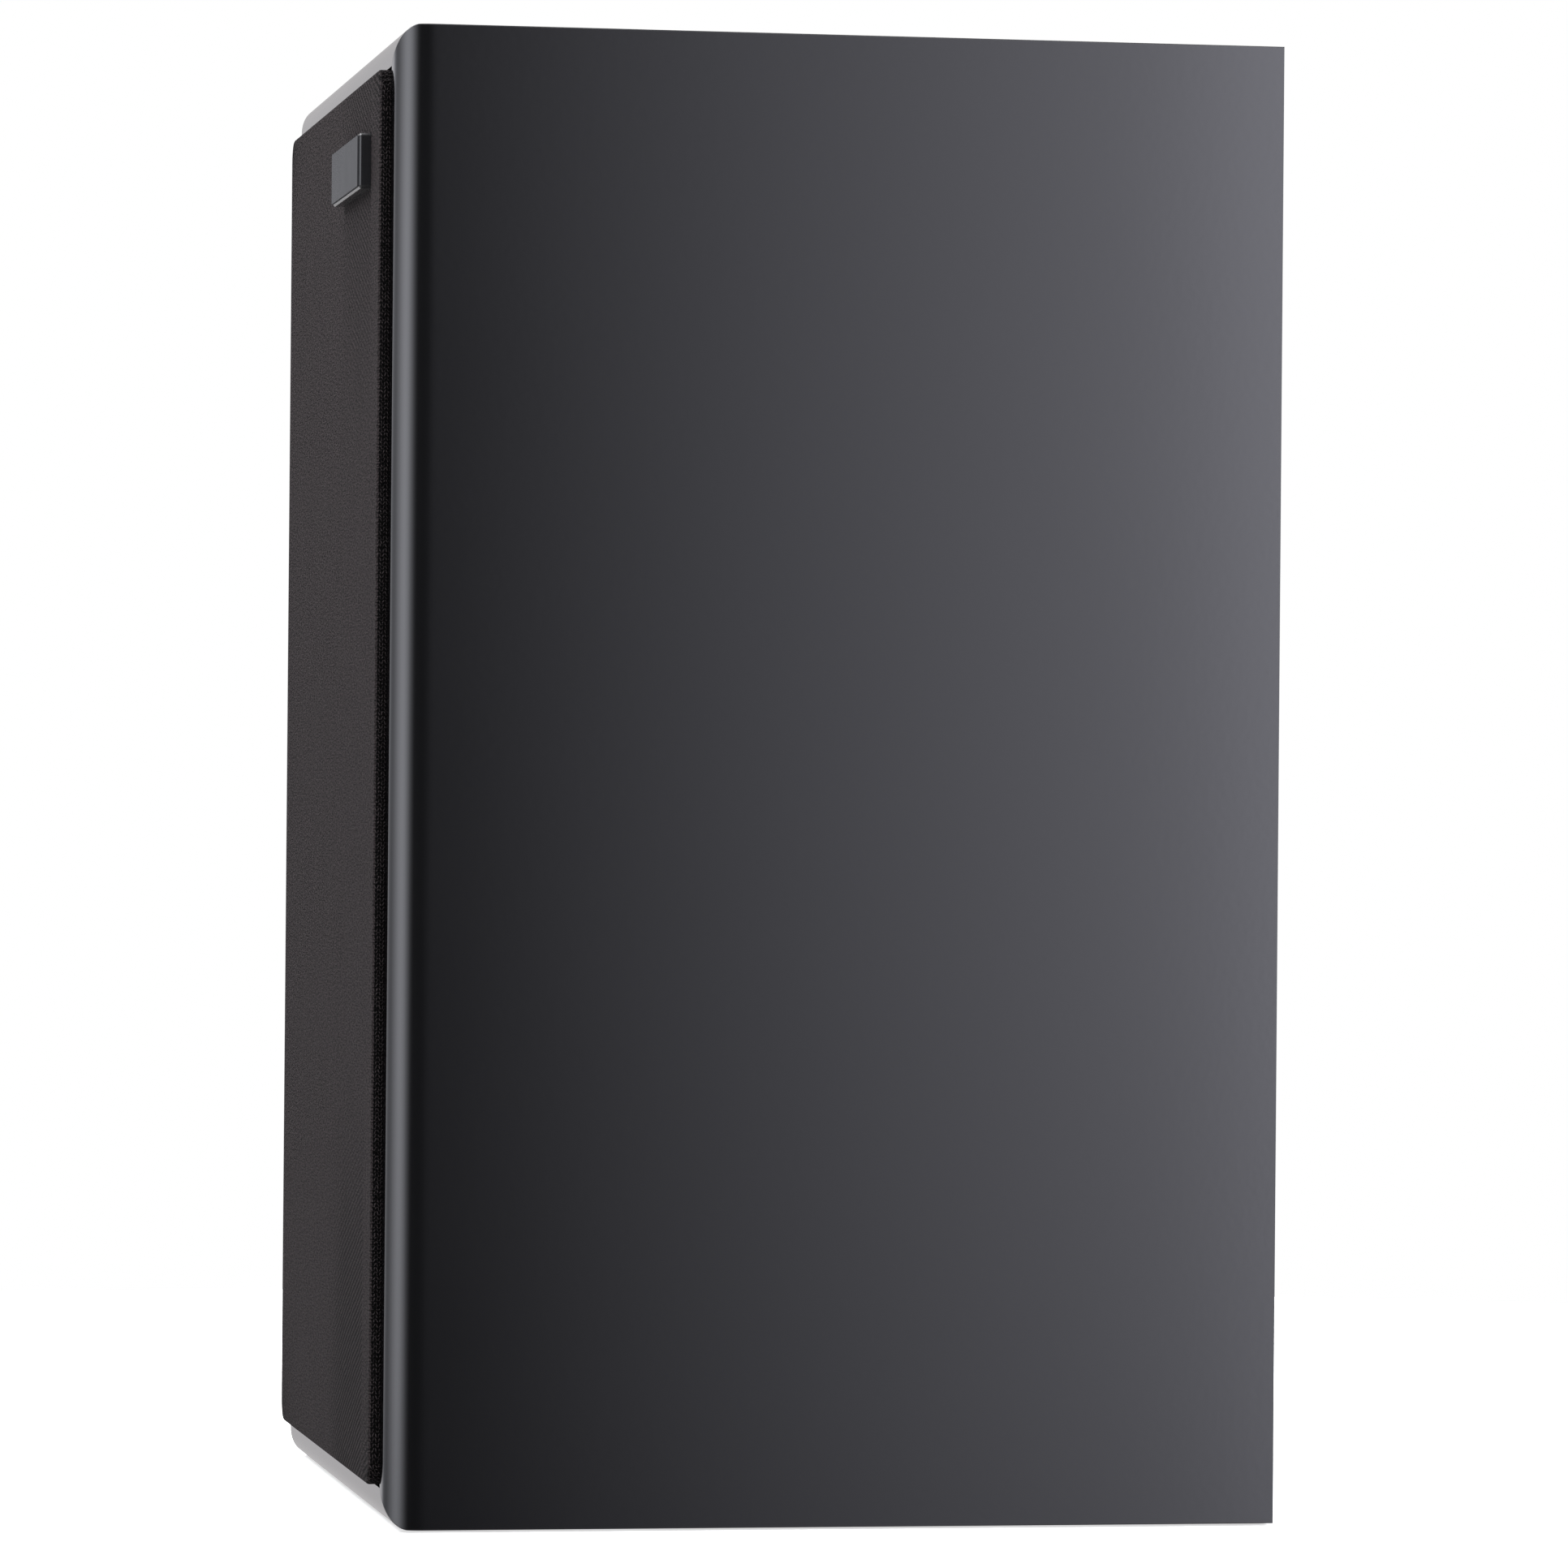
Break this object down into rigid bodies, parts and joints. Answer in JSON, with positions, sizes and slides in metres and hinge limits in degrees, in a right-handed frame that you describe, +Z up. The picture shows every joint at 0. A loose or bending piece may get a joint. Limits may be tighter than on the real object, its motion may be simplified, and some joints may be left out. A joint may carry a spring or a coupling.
{
  "type": "bookshelf speaker",
  "caption": "Closed-box two-way bookshelf speaker: mitred satin-black cabinet, pull-off cloth grille, woofer, dome tweeter, crossover and rear binding posts.",
  "frame": {"origin": "centre of the cabinet's base face", "axes": "+Z up, -Y out of the grille towards the listener, +X to the listener's right"},
  "size_m": [0.189, 0.2076, 0.306],
  "materials": {
    "cabinet_lacquer": "satin black lacquer on board",
    "baffle_black": "matt black paint on board",
    "raw_wood": "sawn softwood",
    "foam": "open-cell acoustic foam",
    "bitumen": "filled damping felt",
    "black_steel": "black zinc",
    "frame_plastic": "moulded black",
    "grille_cloth": "knitted warm charcoal cloth",
    "rubber": "matt black",
    "badge_body": "gloss black",
    "badge_face": "graphite anodised, bare",
    "basket_paint": "satin black powder coat",
    "cone_plastic": "satin moulded polymer",
    "aluminium": "thin foil tube",
    "copper": "enamelled copper wire",
    "spider_cloth": "resin-treated cotton",
    "zinc_steel": "zinc plated",
    "ferrite": "ground ferrite",
    "brass": "tinned brass",
    "faceplate_plastic": "fine-textured black moulding",
    "dome_fabric": "coated woven fabric",
    "neodymium": "nickel plated",
    "gold_brass": "gold plated",
    "red_plastic": "red moulding",
    "black_plastic": "black moulding",
    "board": "green solder mask",
    "nylon": "natural nylon",
    "film_plastic": "yellow film wrap",
    "ceramic_white": "cement-filled ceramic",
    "lead_insulation": "soft sheath"
  },
  "bodies": {
    "cabinet": {"black_post": "gold_brass", "cabinet_bottom": "cabinet_lacquer", "cabinet_side_left": "cabinet_lacquer", "cabinet_side_right": "cabinet_lacquer", "cabinet_top": "cabinet_lacquer", "capacitors": "film_plastic", "crossover_board": "board", "crossover_standoffs": "nylon", "damping_sheets": "bitumen", "foam_lining": "foam", "front_baffle": "baffle_black", "front_battens": "raw_wood", "grille_sockets": "rubber", "inductors": "copper", "input_wires": "lead_insulation", "post_nuts": "brass", "rear_battens": "raw_wood", "rear_gasket": "foam", "rear_panel": "baffle_black", "rear_panel_screws": "black_steel", "red_post": "gold_brass", "resistors": "ceramic_white", "terminal_plate": "faceplate_plastic", "terminal_plate_screws": "black_steel", "tweeter_faceplate": "faceplate_plastic", "tweeter_guard": "black_steel", "tweeter_lead": "lead_insulation", "tweeter_magnet": "neodymium", "tweeter_pole_plate": "zinc_steel", "tweeter_pot": "zinc_steel", "tweeter_screws": "black_steel", "tweeter_tags": "brass", "woofer_back_plate": "zinc_steel", "woofer_basket": "basket_paint", "woofer_lead": "lead_insulation", "woofer_magnet": "ferrite", "woofer_screws": "black_steel", "woofer_tags": "brass", "woofer_top_plate": "zinc_steel"},
    "grille": {"grille_frame": "frame_plastic", "grille_cloth": "grille_cloth", "badge_base": "badge_body", "badge_plate": "badge_face"},
    "woofer_moving_assembly": {"woofer_surround": "rubber", "woofer_cone": "cone_plastic", "woofer_dust_cap": "cone_plastic", "woofer_coil_former": "aluminium", "woofer_voice_coil": "copper", "woofer_spider": "spider_cloth"},
    "tweeter_moving_assembly": {"tweeter_dome": "dome_fabric", "tweeter_surround": "dome_fabric", "tweeter_voice_coil": "copper"},
    "red_collar": {"red_collar": "gold_brass"},
    "red_knob": {"red_knob": "red_plastic"},
    "black_collar": {"black_collar": "gold_brass"},
    "black_knob": {"black_knob": "black_plastic"}
  },
  "joints": [
    {"name": "grille_pull_off", "type": "slide", "parent": "cabinet", "child": "grille", "axis": [0, -1, 0], "range_m": [0, 0.05]},
    {"name": "woofer_excursion", "type": "slide", "parent": "cabinet", "child": "woofer_moving_assembly", "axis": [0, -1, 0], "range_m": [-0.004, 0.004], "stiffness_N_per_m": 1100, "deforming": ["woofer_surround", "woofer_spider"]},
    {"name": "tweeter_excursion", "type": "slide", "parent": "cabinet", "child": "tweeter_moving_assembly", "axis": [0, -1, 0], "range_m": [-0.0003, 0.0003], "stiffness_N_per_m": 9000, "deforming": ["tweeter_surround"]},
    {"name": "red_collar_travel", "type": "slide", "parent": "cabinet", "child": "red_collar", "axis": [0, 1, 0], "range_m": [0, 0.006]},
    {"name": "red_knob_turn", "type": "hinge", "parent": "red_collar", "child": "red_knob", "pos_m": [-0.0095, 0.1005, 0.058], "axis": [0, 1, 0], "range_deg": [0, 2160]},
    {"name": "black_collar_travel", "type": "slide", "parent": "cabinet", "child": "black_collar", "axis": [0, 1, 0], "range_m": [0, 0.006]},
    {"name": "black_knob_turn", "type": "hinge", "parent": "black_collar", "child": "black_knob", "pos_m": [0.0095, 0.1005, 0.058], "axis": [0, 1, 0], "range_deg": [0, 2160]}
  ],
  "couplings": [
    {"joint": "red_knob_turn", "follows": "red_collar_travel", "rad_per_m": 6283.2},
    {"joint": "black_knob_turn", "follows": "black_collar_travel", "rad_per_m": 6283.2}
  ]
}
